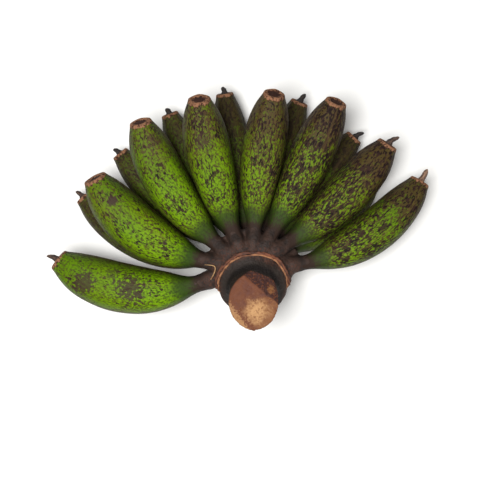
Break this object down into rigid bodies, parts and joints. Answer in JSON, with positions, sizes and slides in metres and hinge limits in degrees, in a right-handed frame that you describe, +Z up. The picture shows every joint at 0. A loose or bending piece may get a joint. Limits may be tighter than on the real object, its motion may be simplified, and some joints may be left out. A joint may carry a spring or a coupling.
{
  "type": "hand of cooking bananas",
  "caption": "Hand of green cooking bananas in two rows on a cut crown and stalk, lying on its back row.",
  "frame": {"origin": "on the surface the hand lies on, under the middle of its length and breadth", "axes": "+Z up from the surface, +Y the way the middle fingers point, +X across the fan; the cut stalk is towards -Y"},
  "size_m": [0.3096, 0.1946, 0.0849],
  "materials": {
    "peel_front": "satin",
    "peel_back": "satin",
    "crown": "matte",
    "dry_style": "matte",
    "fibre": "matte"
  },
  "bodies": {
    "root": {"crown_stalk": "crown", "loose_fibre": "fibre", "finger_front_1": "peel_front", "finger_front_2": "peel_front", "finger_front_3": "peel_front", "finger_front_4": "peel_front", "finger_front_5": "peel_front", "finger_front_6": "peel_front", "finger_front_7": "peel_front", "finger_front_8": "peel_front", "finger_back_1": "peel_back", "finger_back_2": "peel_back", "finger_back_3": "peel_back", "finger_back_4": "peel_back", "finger_back_5": "peel_back", "finger_back_6": "peel_back", "finger_back_7": "peel_back", "style_front_1": "dry_style", "style_front_7": "dry_style", "style_front_8": "dry_style", "style_back_1": "dry_style", "style_back_2": "dry_style", "style_back_3": "dry_style", "style_back_4": "dry_style", "style_back_5": "dry_style", "style_back_6": "dry_style", "style_back_7": "dry_style"}
  },
  "joints": []
}
